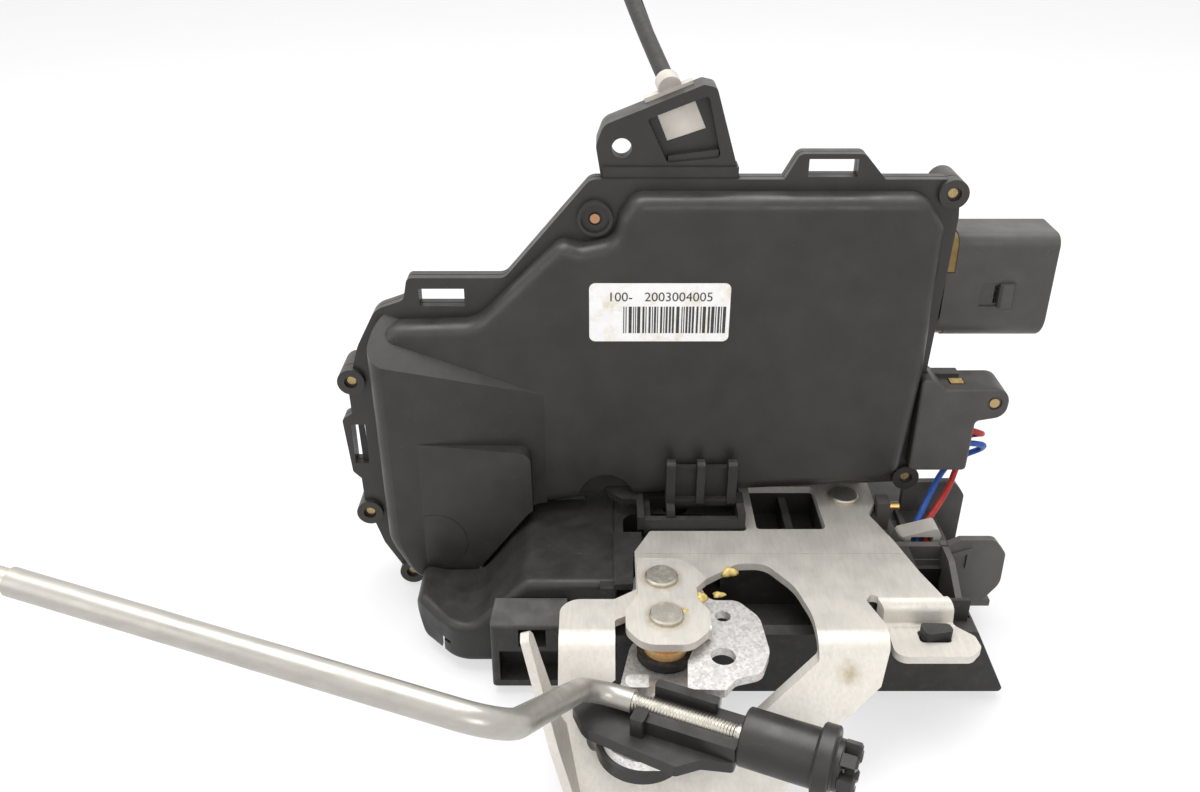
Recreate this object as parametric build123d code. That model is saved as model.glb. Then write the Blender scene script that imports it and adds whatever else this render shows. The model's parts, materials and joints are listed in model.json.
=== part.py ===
from build123d import *
import math
import os

# Car door latch with its actuator box, lying on its lock face. Millimetres.
# X runs down the door, Y towards the inside of the car, Z forward, away from the lock face.
# The origin is midway between the two mounting holes, on the lock face.

# ---- driving dimensions -------------------------------------------------------------------
STEEL = 2.0                 # thickness of the inner steel plate and its pivot plate
LOCK_PLATE = 2.5            # thickness of the lock plate
PLATE_TOP = 29.5            # height of the inner plate's top face
PLATE_LOW = PLATE_TOP - STEEL
MOUNT_X = 33.0              # half the distance between the two mounting holes
MOUNT_HOLE = 3.4            # core radius of the M8 thread
COLLAR_TOP = 8.0            # top of the extruded threaded collars

FLANGE_Y = 30.0             # front face of the cover's flange
FLANGE = 2.2                # thickness of each of the two flanges
SEAL = 0.3                  # seal gap between them
FACE_Y = 24.0               # front face of the raised contour
DOME_Y = 18.0               # front face of the motor dome
WALL = 2.0                  # plastic wall
BACK_Y = 54.0               # back face of the box

CLAW_X, CLAW_Y = 23.5, 29.0
PAWL_X, PAWL_Y = -22.0, 27.0
MOUTH_X = 6.0               # centre line of the striker slot
MOUTH_END = 14.0            # inner end of the striker slot
MOUTH_HALF = 7.0            # half its width
REAR_Y = 52.0               # mouth side of the latch

RELEASE = (-27.4, -8.5)     # release lever pivot, first rivet
OUTER = (-26.9, -22.4)      # outer handle lever pivot, second rivet
SWIVEL = (-33.0, -45.0)     # rod swivel, in the ring end of the outer handle lever
PIN_R = 2.5                 # pivot rivets
RUN = 0.06                  # running clearance on a radius
SEAT = 0.02                 # clearance on a radius where a pin is fixed

ROD_Z = 26.0                # height of the handle rod's axis in its clip
ROD_R = 2.0                 # M4 rod
CORE_R = 1.72               # core of its thread, where it shows
TUBE_R = 2.5                # its sleeve
STEP = (-34.8, -43.6)       # where the sleeve ends and the thread starts
ROD_DIR = (0.917, -0.398)   # direction of the rod through its clip

MOTOR_X, MOTOR_Y = -80.5, 34.0
GEAR_X, GEAR_Z = -63.0, 62.0
LOCK_X, LOCK_Z = -30.0, 66.0
INSIDE_X, INSIDE_Z = -6.0, 92.0
CABLE_X, CABLE_Y = -26.5, 36.0


# ---- helpers ------------------------------------------------------------------------------
def outline(corners):
    """Closed face through corners (u, v, radius), each corner rounded by its radius."""
    count = len(corners)
    ends = []
    for i, (u, v, radius) in enumerate(corners):
        point = Vector(u, v)
        back = (Vector(*corners[i - 1][:2]) - point).normalized()
        ahead = (Vector(*corners[(i + 1) % count][:2]) - point).normalized()
        if radius == 0:
            ends.append((point, None, point))
            continue
        half = math.radians(back.get_angle(ahead)) / 2
        run = radius / math.tan(half)
        middle = point + (back + ahead).normalized() * (radius / math.sin(half) - radius)
        ends.append((point + back * run, middle, point + ahead * run))
    edges = []
    for i, (start, middle, end) in enumerate(ends):
        if middle is not None:
            edges.append(ThreePointArc(start, middle, end))
        follow = ends[(i + 1) % count][0]
        ahead = Vector(*corners[(i + 1) % count][:2]) - Vector(*corners[i][:2])
        if (follow - end).dot(ahead) < -1e-4:
            raise ValueError(f"corner radius too large near {corners[i]}")
        if (follow - end).length > 1e-4:
            edges.append(Line(end, follow))
    return make_face(edges)


def plain(*points):
    """Closed face with sharp corners."""
    return outline([(u, v, 0) for u, v in points])


def slab_xy(face, low, high):
    return extrude(Plane.XY.offset(low) * face, amount=high - low)


def slab_xz(face, low, high):
    return extrude(Plane.XZ.offset(-low) * face, amount=low - high)


def slab_yz(face, low, high):
    return extrude(Plane.YZ.offset(low) * face, amount=high - low)


def block(x0, x1, y0, y1, z0, z1):
    centre = Pos((x0 + x1) / 2, (y0 + y1) / 2, (z0 + z1) / 2)
    return centre * Box(x1 - x0, y1 - y0, z1 - z0)


def rod_z(x, y, radius, low, high):
    return Pos(x, y, (low + high) / 2) * Cylinder(radius, high - low)


def rod_y(x, z, radius, low, high):
    return Pos(x, (low + high) / 2, z) * Rot(90, 0, 0) * Cylinder(radius, high - low)


def rod_x(y, z, radius, low, high):
    return Pos((low + high) / 2, y, z) * Rot(0, 90, 0) * Cylinder(radius, high - low)


def ring_z(x, y, outer, inner, low, high):
    return rod_z(x, y, outer, low, high) - rod_z(x, y, inner, low - 1, high + 1)


def save(name, *shapes):
    solids = [solid for shape in shapes for solid in shape.solids()]
    whole = solids[0] if len(solids) == 1 else Compound(children=solids)
    whole.label = name
    export_step(whole, f"parts/{name}.step")
    print(name, len(solids), round(sum(solid.volume for solid in solids)))


def along_rod(s, z=ROD_Z):
    """Point on the straight end of the handle rod, s past the end of its sleeve."""
    return (STEP[0] + ROD_DIR[0] * s, STEP[1] + ROD_DIR[1] * s, z)


def on_rod(radius, start, end):
    """Cylinder on the rod's straight axis from s = start to s = end."""
    plane = Plane(origin=along_rod(start), z_dir=(*ROD_DIR, 0))
    return extrude(plane * Circle(radius), amount=end - start)


# ---- actuator box -------------------------------------------------------------------------
SCREWS = [(40.3, 113.8), (-105.2, 64.5), (-104.3, 24.6), (-94.3, 4.6), (39.3, 35.8)]
INSET_SCREW = (-43.2, 107.9)
RIM = [
    (-44.3, 117.0, 3), (41.6, 117.0, 4), (42.6, 108, 2), (40.5, 60, 0), (39.5, 34, 2),
    (-46, 29.5, 2), (-60, 26.5, 4), (-74, 9, 4), (-82, 2.6, 4), (-95, 2.2, 2),
    (-101.5, 14, 4), (-105.6, 28, 4), (-106.4, 62, 3), (-102.8, 74, 6), (-97.5, 84, 5),
    (-90.2, 86.6, 2), (-89, 92.4, 1.5), (-65.2, 92.4, 3),
]
LOOPS = [
    [(0.0, 115.5, 0), (4.0, 123.0, 2), (19.0, 123.0, 2), (25.6, 115.5, 0)],
    [(-104.0, 56.0, 0), (-109.0, 53.0, 1.5), (-107.8, 37.0, 1.5), (-103.0, 32.0, 0)],
]
SLOTS = [
    (6.2, 17.6, 117.6, 121.8),
    (-86.3, -75.2, 85.0, 89.6),
    (-106.8, -103.2, 39.6, 51.4),
]
FACE = [
    (-97.2, 81.4, 7), (-72.6, 82.2, 8), (-51.4, 103.2, 3.6), (-46.6, 101.9, 3.2), (-38.9, 103.6, 4.2),
    (-37.6, 109, 3.2), (-34.2, 114.3, 4.6), (33.4, 114.3, 6), (38.6, 106.6, 5), (38.6, 68, 3),
    (36.4, 40, 4), (31, 36.6, 4), (-48, 31.6, 3), (-62, 29, 4), (-97.4, 31, 6),
]
DOME_LOW = [(-59.4, 31.0, 4), (-74, 12.0, 6), (-80, 9.0, 6), (-91.5, 9.0, 7.5), (-97.8, 22.0, 12)]
DOME = [(-98.6, 84, 7), (-50, 84, 4), (-50, 31.6, 4)] + DOME_LOW
DOME_SLOPE = (-95.0, -56.0)  # the dome's front falls back to the face between these X
PANEL_X = -88.2              # where the panel leaves the dome's slope
PANEL = [(-97.8, 52.6, 0), (PANEL_X, 51.9, 0), (-59.7, 49.0, 3)] + DOME_LOW
BODY = [
    (-97.0, 73.6, 5), (-73, 76.0, 4), (-49, 99.6, 4), (-42, 104.6, 4), (35.4, 104.6, 3),
    (38.2, 98, 2), (37.4, 38.5, 3), (-47, 32.8, 3), (-61, 29.6, 4), (-74.5, 13.6, 4),
    (-81, 11.0, 5), (-90, 14.4, 5), (-97.0, 32, 5),
]
NOTCH = (-40.4, 32.6)        # round notch in the cover's lower edge, over the bridge's tab


def front_edges(solid, depth):
    """Edges that lie whole on the front face at Y = depth."""
    return [edge for edge in solid.edges() if abs(edge.bounding_box().max.Y - depth) < 0.01]


def soft_slab(corners, front, back, radius):
    """Plate outline with a rounded front edge."""
    solid = slab_xz(outline(corners), front, back)
    return fillet(front_edges(solid, front), radius)


def dome_front(x):
    """Depth Y of the dome's front at X."""
    start, end = DOME_SLOPE
    return DOME_Y + (FACE_Y - DOME_Y) * (x - start) / (end - start)


def dome_cut(solid, behind):
    """Solid cut to the dome's right end and chamfered roof, both moved inwards by behind."""
    along = Vector(0.934, 0, -0.356)
    ahead = Vector(-1.353, -5.5, -3.55)
    outward = ahead.cross(along).normalized()
    roof = Plane(origin=Vector(-96.5, FACE_Y, 78.9) - outward * behind, x_dir=along, z_dir=outward)
    kept = solid & block(-110, DOME_SLOPE[1] - behind, 0, 60, 0, 90)
    return kept - extrude(roof * Rectangle(140, 60), amount=20)


def dome_behind(behind):
    """All that lies behind the dome's front, moved inwards by behind: a level strip, then a slope."""
    start, end = DOME_SLOPE
    front, back = DOME_Y + behind, FACE_Y + behind
    return slab_xy(plain((-110, 50), (-110, front), (start, front), (end, back), (end, 50)), 0, 90)


def contour():
    """Raised contour of the cover: face, motor dome and the level panel on the dome."""
    dome = dome_cut(soft_slab(DOME, DOME_Y, FLANGE_Y, 3.6), 0)
    panel = dome & slab_xz(outline(PANEL), dome_front(PANEL_X), FLANGE_Y)
    return soft_slab(FACE, FACE_Y, FLANGE_Y, 3.4) + (dome & dome_behind(0)) + panel


def contour_room():
    """Space inside the raised contour."""
    room = slab_xz(offset(outline(FACE), amount=-WALL), FACE_Y + WALL, 40)
    dome = slab_xz(offset(outline(DOME), amount=-WALL), DOME_Y, 40)
    return room + (dome_cut(dome, WALL) & dome_behind(WALL + 0.3))


def front_cover():
    flange = slab_xz(outline(RIM), FLANGE_Y, FLANGE_Y + FLANGE)
    for loop in LOOPS:
        flange += slab_xz(outline(loop), FLANGE_Y, FLANGE_Y + FLANGE)
    for x, z in SCREWS:
        flange += rod_y(x, z, 3.5, FLANGE_Y - 1.4, FLANGE_Y + FLANGE)
    x, z = INSET_SCREW
    flange += rod_y(x, z, 4.2, FLANGE_Y - 1.8, FLANGE_Y) - rod_y(x, z, 3.4, 20, FLANGE_Y - 0.8)
    cover = flange + contour() - contour_room()
    cover += rod_y(*NOTCH, 8.4, FACE_Y + 2, FLANGE_Y) & block(-60, -20, 20, 40, 32.2, 45)
    cover -= rod_y(*NOTCH, 7.2, 20, 28.6) + block(-36, -30.3, 20, 28.6, 30, 33.7)
    # faint witness ring of an ejector on the dome
    ring = rod_y(-85.2, 22.2, 8.5, 15, 40) - rod_y(-85.2, 22.2, 8.2, 14, 41)
    cover -= ring & block(PANEL_X, -70, 15, dome_front(PANEL_X) + 0.12, 10, 40)
    for x0, x1, z0, z1 in SLOTS:
        cover -= block(x0, x1, 20, 40, z0, z1)
    for x, z in SCREWS + [INSET_SCREW]:
        cover -= rod_y(x, z, 1.7, 20, FLANGE_Y - 0.4)
        cover -= rod_y(x, z, 1.2, 20, 40)
    return cover


def rear_housing():
    low = FLANGE_Y + FLANGE + SEAL
    shell = slab_xz(outline(RIM), low, low + FLANGE)
    for loop in LOOPS:
        shell += slab_xz(outline(loop), low, low + FLANGE)
    for x, z in SCREWS:
        shell += rod_y(x, z, 3.5, low, low + 8)
    box = slab_xz(outline(BODY), low, BACK_Y)
    back_rim = [e for e in box.edges() if e.bounding_box().min.Y > BACK_Y - 0.01]
    shell += chamfer(back_rim, 1.8)
    # riser that carries the cable bracket
    shell += block(-34, -12, low, 40.5, 102, 115)
    shell += block(-34, 30, 38, REAR_Y, PLATE_LOW, 36)
    shell -= slab_xz(offset(outline(BODY), amount=-WALL), low - 1, BACK_Y - WALL)
    for x0, x1, z0, z1 in SLOTS:
        shell -= block(x0, x1, 20, 40, z0, z1)
    for x, z in SCREWS + [INSET_SCREW]:
        shell -= rod_y(x, z, 1.2, 20, low + 7)
    shell -= block(34, 44, CONNECTOR_Y0 + 1.6, CONNECTOR_Y1 - 1.6, 79.2, 100.4)
    shell -= rod_z(CABLE_X, CABLE_Y, 1.3, 98, 125)
    return shell


def cover_seal():
    low = FLANGE_Y + FLANGE
    bead = outline(RIM)
    ring = slab_xz(offset(bead, amount=-0.6), low, low + SEAL)
    ring -= slab_xz(offset(bead, amount=-2.2), low - 1, low + 1)
    for x, z in SCREWS + [INSET_SCREW]:
        ring -= rod_y(x, z, 1.3, low - 1, low + 1)
    return ring


def cover_screws():
    heads = [rod_y(x, z, 1.15, FLANGE_Y - 0.2, FLANGE_Y + 8) for x, z in SCREWS]
    heads.append(rod_y(*INSET_SCREW, 1.15, FLANGE_Y - 1.2, FLANGE_Y + 2))
    return heads


def cover_label():
    return slab_xz(outline([(-44.6, 93.6, 1.5), (-10.8, 93.6, 1.5), (-10.8, 78.4, 1.5),
                            (-44.6, 78.4, 1.5)]), FACE_Y - 0.15, FACE_Y)


# ---- connector ----------------------------------------------------------------------------
CONNECTOR_Y0, CONNECTOR_Y1 = 33.2, 47.6
CONNECTOR_X = (45.0, 69.8)
CONNECTOR_Z = (73.6, 102.0)


def connector_section(inset):
    """Section of the shell across Y and Z: tight corners on top, wide ones below."""
    low_y, high_y = CONNECTOR_Y0 + inset, CONNECTOR_Y1 - inset
    low_z, high_z = CONNECTOR_Z[0] + inset, CONNECTOR_Z[1] - inset
    return outline([(low_y, high_z, 3.2 - inset), (high_y, high_z, 2.2), (high_y, low_z, 5 - inset),
                    (low_y, low_z, 6.6 - inset)])


def connector_shell():
    x0, x1 = CONNECTOR_X
    body = slab_yz(connector_section(0), x0, x1)
    rim = [e for e in body.edges() if e.bounding_box().min.X > x1 - 0.01]
    body = fillet(rim, 0.7)
    body -= slab_yz(connector_section(1.6), x0 + 6, x1 + 1)
    body += slab_yz(connector_section(0), 43.0, x0 + 1) & block(42, 47, CONNECTOR_Y0, CONNECTOR_Y0 + 1.3, 70, 92.4)
    # lock window: shallow recess with a raised catch for the plug's latch
    body -= block(52.2, 60.4, CONNECTOR_Y0 - 1, CONNECTOR_Y0 + 0.5, 83.5, 89.7)
    catch = block(56.6, 60.4, CONNECTOR_Y0 - 1.1, CONNECTOR_Y0 + 0.8, 83.5, 89.7)
    body += chamfer(catch.edges().filter_by(Axis.Z).sort_by(Axis.Y)[0:2], 0.6)
    body -= block(55.6, 56.6, CONNECTOR_Y0 - 1, CONNECTOR_Y0 + 3, 84.2, 89.0)
    neck = block(38.4, x0, CONNECTOR_Y0 + 1.8, CONNECTOR_Y1 - 1.8, 79.4, 100.2)
    return body + neck


def connector_seal():
    ring = slab_yz(connector_section(0.3), 43.0, CONNECTOR_X[0])
    ring -= block(42, 47, CONNECTOR_Y0 - 1, CONNECTOR_Y0 + 1.35, 70, 92.5)
    return ring - block(40, 46, CONNECTOR_Y0 + 1.8, CONNECTOR_Y1 - 1.8, 79.4, 100.2)


def connector_pins():
    pins = []
    for row in range(2):
        for column in range(6):
            y = 37.6 + 5.6 * row
            z = 80.2 + 3.7 * column
            pins.append(block(CONNECTOR_X[0] + 6, 62, y - 0.4, y + 0.4, z - 0.4, z + 0.4))
    return pins


# ---- cable bracket and Bowden cable -------------------------------------------------------
BRACKET_Y = 31.6             # front of the bracket
BRACKET = [
    (-41.8, 117.0, 0), (-43.0, 124.4, 3), (-41.2, 129.2, 3.4), (-36.0, 131.3, 2),
    (-18.6, 138.3, 1.2), (-15.6, 137.6, 1.6), (-9.4, 117.0, 0),
]
CABLE_D = 4.0
CABLE = [
    (-26.6, 40.0, 137.4), (-31.0, 64.0, 144.0), (-36.5, 98.0, 154.0), (-39.0, 136.0, 160.0),
    (-38.0, 172.0, 157.0), (-33.3, 199.0, 142.0), (-22.9, 203.0, 116.0), (-11.5, 192.0, 88.0),
    (-4.0, 174.0, 62.0), (1.0, 154.0, 38.0), (2.0, 132.0, 18.0), (-3.0, 108.0, 6.8),
    (-15.0, 87.0, 3.8), (-35.0, 74.0, 3.3), (-57.0, 70.0, 3.3),
]


def cable_radii(points):
    """Each bend as wide as its two runs allow."""
    radii = []
    for before, here, after in zip(points, points[1:], points[2:]):
        back = Vector(*before) - Vector(*here)
        ahead = Vector(*after) - Vector(*here)
        turn = math.radians(180 - back.get_angle(ahead))
        radii.append(0.45 * min(back.length, ahead.length) / math.tan(turn / 2))
    return radii


def cable_sheath():
    radii = cable_radii(CABLE)
    print("cable bend radii", [round(radius, 1) for radius in radii])
    path = FilletPolyline(*CABLE, radius=radii)
    start = Plane(origin=path @ 0, z_dir=path % 0)
    tube = sweep(start * Circle(CABLE_D / 2), path=path)
    bore = math.pi * CABLE_D ** 2 / 4
    print("cable length", round(path.length, 1), "volume ratio", round(tube.volume / bore / path.length, 4))
    return tube


def ferrule(radius, length):
    """Cylinder round the cable's axis, ending where the sheath begins."""
    ahead = Vector(*CABLE[1]) - Vector(*CABLE[0])
    return extrude(Plane(origin=CABLE[0], z_dir=ahead) * Circle(radius), amount=-length)


def cable_far_end():
    """Ferrule, inner wire and nipple at the loose end of the cable."""
    ahead = Vector(*CABLE[-1]) - Vector(*CABLE[-2])
    end = Plane(origin=CABLE[-1], z_dir=ahead)
    shape = extrude(end * Circle(3.1), amount=11) + extrude(end * Circle(0.75), amount=27)
    return shape + extrude(end.offset(25) * Circle(2.2), amount=6)


def cable_bracket():
    plate = slab_xz(outline(BRACKET), BRACKET_Y, 39.6)
    plate += block(-34, -12, 34.75, 39.6, 115.0, 118)
    plate += block(-41.4, -9.8, BRACKET_Y - 0.8, 36, 117.0, 119.6)
    plate -= slab_xz(outline([(-40.2, 119.8, 1), (-41.2, 124.4, 2), (-39.6, 128.2, 2), (-33.4, 130.2, 1),
                              (-33.4, 119.8, 1)]), 33.4, 40)
    plate += rod_y(-37.0, 123.9, 3.4, BRACKET_Y, 35.6)
    plate -= rod_y(-37.0, 123.9, 2.3, 30, 42)
    # recess with a window in its floor for the cable's end fitting
    plate -= slab_xz(outline([(-31.2, 130.5, 0.6), (-17.4, 135.9, 0.8), (-14.0, 121.6, 1), (-26.4, 120.4, 1)]),
                     30, 34.2)
    plate += slab_xz(plain((-26.2, 120.3), (-26.2, 121.8), (-14.6, 123.4), (-14.3, 120.3)), 32.4, 34.2)
    plate -= slab_xz(fitting_face(0.1), 34, 40)
    plate -= slab_xz(plain((-28.8, 130.4), (-30.4, 134.8), (-22.8, 137.6), (-21.4, 134)), 36.7, 40)
    plate -= rod_z(CABLE_X, CABLE_Y, 1.3, 110, 132)
    return plate - ferrule(3.1, 4.0)


def fitting_face(gap):
    """Outline of the end fitting's square body, tilted with the bracket's top."""
    return plain((-29.2 - gap, 131.6 + gap), (-20.6, 134.8 + gap), (-17.6 + gap, 127.8), (-26.4, 124.8 - gap))


def cable_end_fitting():
    body = slab_xz(fitting_face(0), 34.5, 39.4)
    collar = plain((-31.4, 132.7), (-32.0, 134.0), (-20.9, 138.2), (-20.5, 137.3))
    body += slab_xz(collar, 36.4, 39.4) - slab_xz(outline(BRACKET), 30, 50)
    body += slab_xz(plain((-28.2, 131), (-29.6, 134.2), (-23.2, 136.6), (-22.0, 134)), 37.0, 39.4)
    body += ferrule(2.8, 3.6)
    return body - rod_z(CABLE_X, CABLE_Y, 1.1, 120, 130.6)


NIPPLE_Z = 89.3             # height of the cable's nipple at rest


def cable_inner_wire():
    """Inner wire of the cable, with the cross nipple that sits in the release lever."""
    wire = rod_z(CABLE_X, CABLE_Y, 0.75, NIPPLE_Z, 123.9)
    return wire + rod_y(CABLE_X, NIPPLE_Z, 1.5, CABLE_Y - 1.2, 41.4)


# ---- latch mechanism ----------------------------------------------------------------------
def lock_plate():
    plate = slab_xy(outline([(-60, -13, 4), (50, -13, 4), (50, REAR_Y, 4), (-60, REAR_Y, 4)]),
                    0, LOCK_PLATE)
    mouth = outline([(MOUTH_X - MOUTH_HALF, MOUTH_END, 6.8), (MOUTH_X + MOUTH_HALF, MOUTH_END, 6.8),
                     (MOUTH_X + MOUTH_HALF, 34, 4), (MOUTH_X + 15, REAR_Y + 1, 0),
                     (MOUTH_X - 15, REAR_Y + 1, 0), (MOUTH_X - MOUTH_HALF, 34, 4)])
    plate -= slab_xy(mouth, -1, 5)
    for side in (-1, 1):
        plate += rod_z(side * MOUNT_X, 0, 6.2, LOCK_PLATE, COLLAR_TOP)
        plate -= rod_z(side * MOUNT_X, 0, MOUNT_HOLE, -1, 20)
    plate -= rod_z(CLAW_X, CLAW_Y, 4.0 + SEAT, -1, 5)
    plate -= rod_z(PAWL_X, PAWL_Y, 3.5 + SEAT, -1, 5)
    return plate


def claw():
    """Rotary catch, drawn open: its jaw faces the mouth of the striker slot."""
    centre = (CLAW_X, CLAW_Y)
    disc = ring_z(*centre, 20.5, 4.0 + RUN, 9, 14)
    jaw = Pos(*centre, 0) * Rot(0, 0, 137) * block(13.0, 30, -6.2, 6.2, 0, 20)
    jaw += Pos(*centre, 0) * Rot(0, 0, 137) * rod_z(13.0, 0, 6.2, 0, 20)
    disc -= jaw
    notch = Pos(*centre, 0) * Rot(0, 0, 200) * block(17.4, 22, -3.0, 6.5, 0, 20)
    return disc - notch


def pawl():
    arm = slab_xy(outline([(PAWL_X - 6.5, PAWL_Y + 6, 5), (PAWL_X + 6, PAWL_Y + 6, 5), (0.6, 14.0, 0.6),
                           (-2.6, 7.8, 1), (-20, 13, 3), (-30, 12, 3), (-31, 18, 3)]), 9, 14)
    arm -= rod_z(PAWL_X, PAWL_Y, 3.5 + RUN, 0, 20)
    return arm + rod_z(-27.6, 15.2, 1.8, 14, 26)


def coil(x, y, radius, wire, low, turns, leg_end):
    """Torsion spring as closed turns with one straight leg."""
    spring = None
    for turn in range(turns):
        loop = Pos(x, y, low + wire / 2 + turn * wire * 0.96) * Torus(radius, wire / 2)
        spring = loop if spring is None else spring + loop
    dx, dy = leg_end[0] - x, leg_end[1] - y
    length = math.hypot(dx, dy)
    side = (-dy / length * radius, dx / length * radius)
    start = (x + side[0], y + side[1], low + wire / 2)
    leg = Plane(origin=start, z_dir=(dx, dy, 0)) * Circle(wire / 2 * 0.98)
    return spring + extrude(leg, amount=length)


def latch_housing():
    deck = block(-38.55, 46, -12, REAR_Y, LOCK_PLATE, PLATE_LOW)
    deck -= block(31.2, 47, 9.6, REAR_Y + 1, 21.4, 40)
    right = slab_xz(outline([(20, LOCK_PLATE + 0.2, 0), (56.6, LOCK_PLATE + 0.2, 1), (47.5, 21.4, 1),
                             (20, 21.4, 0)]), -16, 9.4)
    wall = block(-38, 22, -16, -12, LOCK_PLATE + 0.2, 20.5)
    frame = slab_xy(outline([(-68.6, -14, 1.2), (-50, -14, 0), (-50, -6.5, 0), (-67.4, -6.5, 0)]),
                    LOCK_PLATE + 0.1, 24)
    frame &= slab_yz(outline([(-14, 0, 0), (-14, 20.8, 1.4), (-6.5, 23.8, 0), (-6.5, 0, 0)]), -70, -49)
    frame += block(-50.5, -38, -13.8, -6.5, LOCK_PLATE + 0.1, 9)
    frame -= block(-66.4, -51.4, -15, -8, 4.4, 13.6)
    frame -= block(-61.6, -55, -15, -7, 15.0, 20.2)
    body = deck + right + wall + frame
    pedestal = rod_z(*OUTER, 7.0, LOCK_PLATE + 0.2, 17.2) + block(-33, -21, -23, -14, LOCK_PLATE + 0.2, 14)
    body += pedestal
    # room for the levers behind the arch opening, and for the release lever's tail further back
    body -= block(-38.5, 9.5, -12.5, 1.5, 15.5, 40)
    body -= block(-39, -12, -17, -11, 17.1, 40)
    body -= slab_xy(outline([(-36, 1, 0), (-12, 1, 0), (-12, 24, 4), (-36, 24, 4)]), 20.2, 40)
    # catch cavity under the roof
    body -= slab_xy(outline([(-35.5, 3, 4), (44.6, 6, 4), (44.6, 50, 4), (-35.5, 50, 4)]), 0, 14.6)
    body -= block(-32.5, -18, 6, 22, 14, 22)
    body -= block(MOUTH_X - MOUTH_HALF - 0.6, MOUTH_X + MOUTH_HALF + 0.6, MOUTH_END - 1, REAR_Y + 1, 0, 19)
    # window pocket
    body -= block(-1.6, 15.8, 14.4, 33.8, 20.5, 40)
    body += block(6.6, 8.6, 15.5, 33.8, 20.4, 26.6)
    for side in (-1, 1):
        body -= rod_z(side * MOUNT_X, 0, 6.6, 0, 14)
    body -= rod_z(CLAW_X, CLAW_Y, 4.0 + SEAT, 0, 40)
    body -= rod_z(PAWL_X, PAWL_Y, 3.5 + SEAT, 0, 40)
    body -= rod_z(*OUTER, PIN_R + SEAT, 7, 40)
    body -= block(-40, -38.5, -6.4, 60, LOCK_PLATE, 40)
    # open channel for the wires behind the right wall
    body -= slab_xz(outline([(34.5, 7, 0), (51.5, 7, 1), (46.2, 24, 0), (34.5, 24, 0)]), -11.0, 8.2)
    body -= block(36.4, 47.5, -11.0, 9.6, 21.4, 40)
    # snap hook through the pad of the inner plate
    hook = slab_xy(outline([(32.6, -18.6, 1), (38.8, -18.6, 1), (38.8, -21.6, 1), (32.6, -21.6, 1)]), 21, 23.6)
    hook += block(32.6, 38.8, -21.6, -15.5, 17.5, 21.2)
    hook += slab_xy(outline([(32.0, -17.9, 1.2), (39.4, -18.2, 1.2), (39.8, -21.0, 1), (33.4, -22.2, 1)]),
                    23.6, 25.8)
    return body + hook


SIDE_Y = -6.2                # front face of the side cover


def side_cover():
    """Curved cover over the lock plate's left end: a low dished lobe, a ramp and a level shelf."""
    profile = outline([(-87.0, 3.0, 3), (-89.6, 11.0, 4), (-88.4, 15.6, 2.4), (-82, 14.2, 9), (-73.2, 14.4, 5),
                       (-60.2, 28.0, 4), (-38.6, 28.0, 0), (-38.6, 3.0, 0)])
    body = slab_xz(profile, SIDE_Y, 36)
    plan = outline([(-38.6, SIDE_Y, 0), (-78.0, SIDE_Y, 9), (-89.6, 6.0, 8), (-89.6, 17.2, 0), (-76.0, 17.2, 0),
                    (-76.0, 29.4, 0), (-51.0, 29.4, 0), (-51.0, 36.0, 0), (-38.6, 36.0, 0)])
    body &= slab_xy(plan, 2, 40)
    body = fillet(upper_front(body), 2.0)
    inside = slab_xy(offset(plan, amount=-WALL), 2, 26)
    inside &= slab_xz(outline([(-86, 1, 0), (-86.6, 12, 2), (-73.6, 12, 3), (-60.6, 25.4, 3), (-40.6, 25.4, 0),
                               (-40.6, 1, 0)]), -10, 40)
    body -= inside
    body -= block(-82.4, -81.4, -6, 3, 2, 8.4) + block(-82.4, -79.6, -6, 3, 7.4, 8.4)
    body += slab_xy(outline([(-38.65, -8.2, 0), (-34.0, -7.8, 0.6), (-33.8, 1.4, 0), (-38.65, 1.4, 0)]),
                    PLATE_LOW, 29.2)
    body += block(-42.0, -38.0, -8.2, SIDE_Y + 1, 25.0, 28.0)
    # the ramp's back end tucks in under the motor dome
    body -= slab_xz(offset(outline(DOME), amount=SEAL), 17.3, 31)
    body += slab_xy(plain((-38.65, 1.4), (-33.8, 1.4), (-33.6, 4.6), (-31.4, 9.0), (-31.4, 13.4), (-38.65, 13.4)),
                    PLATE_LOW, 29.2)
    return body - rod_z(-MOUNT_X, 0, 6.6, 0, 14)


def upper_front(solid):
    """Front edges of the side cover's top, from its lobe to its shelf."""
    found = []
    for edge in solid.edges():
        box = edge.bounding_box()
        if box.min.Z > 12 and box.max.Y < 16.5 and box.size.Z < 14 and box.min.X < -40:
            if box.size.X > 1 or box.size.Y > 1:
                found.append(edge)
    return found


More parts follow.
